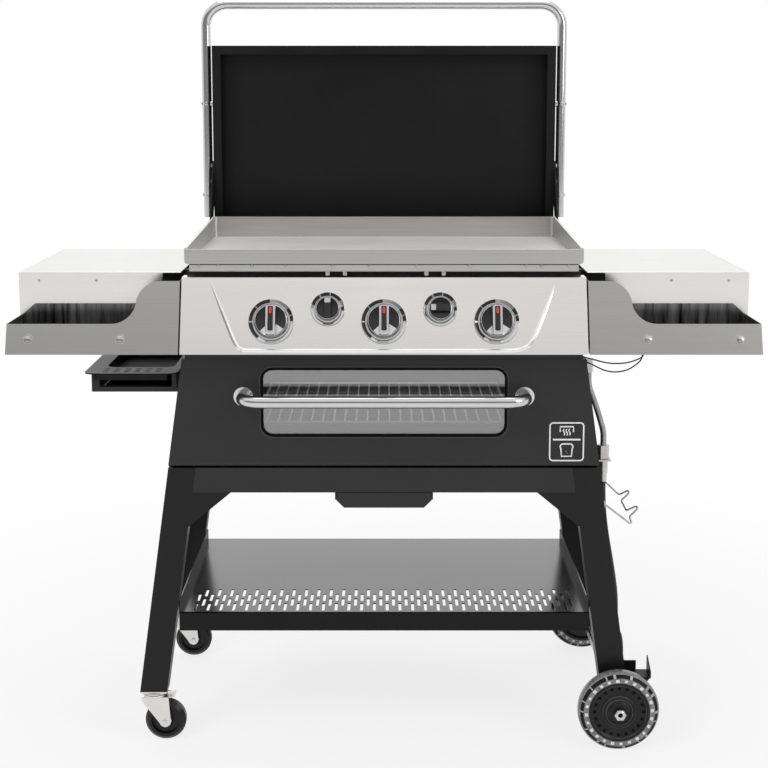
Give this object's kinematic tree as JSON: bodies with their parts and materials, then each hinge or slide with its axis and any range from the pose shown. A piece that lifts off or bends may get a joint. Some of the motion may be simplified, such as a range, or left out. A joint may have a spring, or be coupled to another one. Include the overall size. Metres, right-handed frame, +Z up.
{
  "type": "gas grill and griddle combo",
  "caption": "Outdoor gas griddle over a small oven, on a splayed stand with a shelf, folding-back lid, side tables, tool trays, wheels and casters.",
  "frame": {"origin": "on the ground, midway across the width and midway between the front of the oven door's handle and the back of the open lid", "axes": "+Z up, +X to the user's right facing the controls, +Y from the controls towards the lid"},
  "size_m": [1.338, 0.625, 1.394],
  "materials": {
    "powder_black": "satin black powder coat",
    "lid_black": "satin black enamel",
    "stainless": "brushed stainless sheet",
    "stainless_cook": "plain steel cooking plate, fine grain",
    "chrome_tube": "polished steel tube",
    "galvanised": "dull aluminised sheet",
    "burner_steel": "pressed burner tube",
    "brass_manifold": "plain brass valves and pipe",
    "zinc": "bright zinc plate",
    "black_plastic": "moulded black plastic",
    "knob_black": "moulded black grip, bright skirt",
    "bezel_chrome": "bright dished ring",
    "tyre_grey": "solid moulded tyre",
    "oven_glass": "smoked oven glass",
    "hose_rubber": "smooth gas hose",
    "lead_black": "thin insulated lead",
    "rack_wire": "plated wire"
  },
  "bodies": {
    "stand": {"leg_front_left": "powder_black", "leg_front_right": "powder_black", "leg_rear_left": "powder_black", "leg_rear_right": "powder_black", "cross_rails": "powder_black", "leg_gussets": "powder_black", "bottom_shelf": "powder_black", "caster_plates": "zinc", "wheel_axle": "zinc", "side_panel_left": "powder_black", "side_panel_right": "powder_black", "cabinet_back": "powder_black", "oven_front_frame": "powder_black", "oven_liner": "galvanised", "oven_rack": "rack_wire", "oven_burners": "burner_steel", "door_hinges": "zinc", "firebox": "powder_black", "griddle_burners": "burner_steel", "griddle_frame": "stainless_cook", "griddle_plate": "stainless_cook", "control_panel": "stainless", "knob_bezels": "bezel_chrome", "gas_manifold": "brass_manifold", "lid_hinge_plates": "powder_black", "left_table": "stainless", "right_table": "stainless", "table_brackets": "powder_black", "tool_tray_left": "stainless", "tool_tray_right": "stainless", "grease_pan_cradle": "powder_black", "drip_tray_rails": "powder_black", "hose_fittings": "zinc", "supply_tube": "galvanised", "gas_hose": "hose_rubber", "regulator": "black_plastic", "igniter_leads": "lead_black", "tank_bracket": "powder_black", "tank_hook": "zinc"},
    "lid": {"lid": "lid_black", "lid_arms": "lid_black", "lid_handle": "chrome_tube"},
    "oven_door": {"oven_door": "powder_black", "door_glass": "oven_glass", "door_handle": "chrome_tube"},
    "grease_pan": {"grease_pan": "powder_black"},
    "drip_tray": {"drip_tray": "powder_black"},
    "caster_front": {"caster_fork_front": "zinc"},
    "caster_front_roller": {"caster_wheel_front": "black_plastic"},
    "caster_rear": {"caster_fork_rear": "zinc"},
    "caster_rear_roller": {"caster_wheel_rear": "black_plastic"},
    "front_wheel": {"wheel_front_hub": "black_plastic", "wheel_front_tyre": "tyre_grey"},
    "rear_wheel": {"wheel_rear_hub": "black_plastic", "wheel_rear_tyre": "tyre_grey"},
    "knob_griddle_left": {"knob_griddle_left": "knob_black"},
    "knob_griddle_centre": {"knob_griddle_centre": "knob_black"},
    "knob_griddle_right": {"knob_griddle_right": "knob_black"},
    "knob_oven_left": {"knob_oven_left": "knob_black"},
    "knob_oven_right": {"knob_oven_right": "knob_black"}
  },
  "joints": [
    {"name": "lid_hinge", "type": "hinge", "parent": "stand", "child": "lid", "pos_m": [0, 0.1845, 0.862], "axis": [1, 0, 0], "range_deg": [0, 90]},
    {"name": "oven_door_hinge", "type": "hinge", "parent": "stand", "child": "oven_door", "pos_m": [0, -0.2395, 0.541], "axis": [1, 0, 0], "range_deg": [0, 80]},
    {"name": "grease_pan_slide", "type": "slide", "parent": "stand", "child": "grease_pan", "axis": [0, -1, 0], "range_m": [0, 0.2]},
    {"name": "drip_tray_slide", "type": "slide", "parent": "stand", "child": "drip_tray", "axis": [0, -1, 0], "range_m": [0, 0.25]},
    {"name": "knob_griddle_left_turn", "type": "hinge", "parent": "stand", "child": "knob_griddle_left", "pos_m": [-0.2, -0.27698, 0.801], "axis": [0, -0.939, 0.344], "range_deg": [0, 180]},
    {"name": "knob_griddle_centre_turn", "type": "hinge", "parent": "stand", "child": "knob_griddle_centre", "pos_m": [0, -0.27698, 0.801], "axis": [0, -0.939, 0.344], "range_deg": [0, 180]},
    {"name": "knob_griddle_right_turn", "type": "hinge", "parent": "stand", "child": "knob_griddle_right", "pos_m": [0.2, -0.27698, 0.801], "axis": [0, -0.939, 0.344], "range_deg": [0, 180]},
    {"name": "knob_oven_left_turn", "type": "hinge", "parent": "stand", "child": "knob_oven_left", "pos_m": [-0.1, -0.26929, 0.822], "axis": [0, -0.939, 0.344], "range_deg": [0, 180]},
    {"name": "knob_oven_right_turn", "type": "hinge", "parent": "stand", "child": "knob_oven_right", "pos_m": [0.1, -0.26929, 0.822], "axis": [0, -0.939, 0.344], "range_deg": [0, 180]},
    {"name": "caster_front_swivel", "type": "hinge", "parent": "stand", "child": "caster_front", "pos_m": [-0.42917, -0.2285, 0.06], "axis": [0, 0, 1], "continuous": true},
    {"name": "caster_front_roll", "type": "hinge", "parent": "caster_front", "child": "caster_front_roller", "pos_m": [-0.40917, -0.2285, 0.038], "axis": [0, 1, 0], "continuous": true},
    {"name": "front_wheel_spin", "type": "hinge", "parent": "stand", "child": "front_wheel", "pos_m": [0.43228, -0.2285, 0.075], "axis": [0, 1, 0], "continuous": true},
    {"name": "caster_rear_swivel", "type": "hinge", "parent": "stand", "child": "caster_rear", "pos_m": [-0.42917, 0.1735, 0.06], "axis": [0, 0, 1], "continuous": true},
    {"name": "caster_rear_roll", "type": "hinge", "parent": "caster_rear", "child": "caster_rear_roller", "pos_m": [-0.40917, 0.1735, 0.038], "axis": [0, 1, 0], "continuous": true},
    {"name": "rear_wheel_spin", "type": "hinge", "parent": "stand", "child": "rear_wheel", "pos_m": [0.43228, 0.1735, 0.075], "axis": [0, 1, 0], "continuous": true}
  ]
}
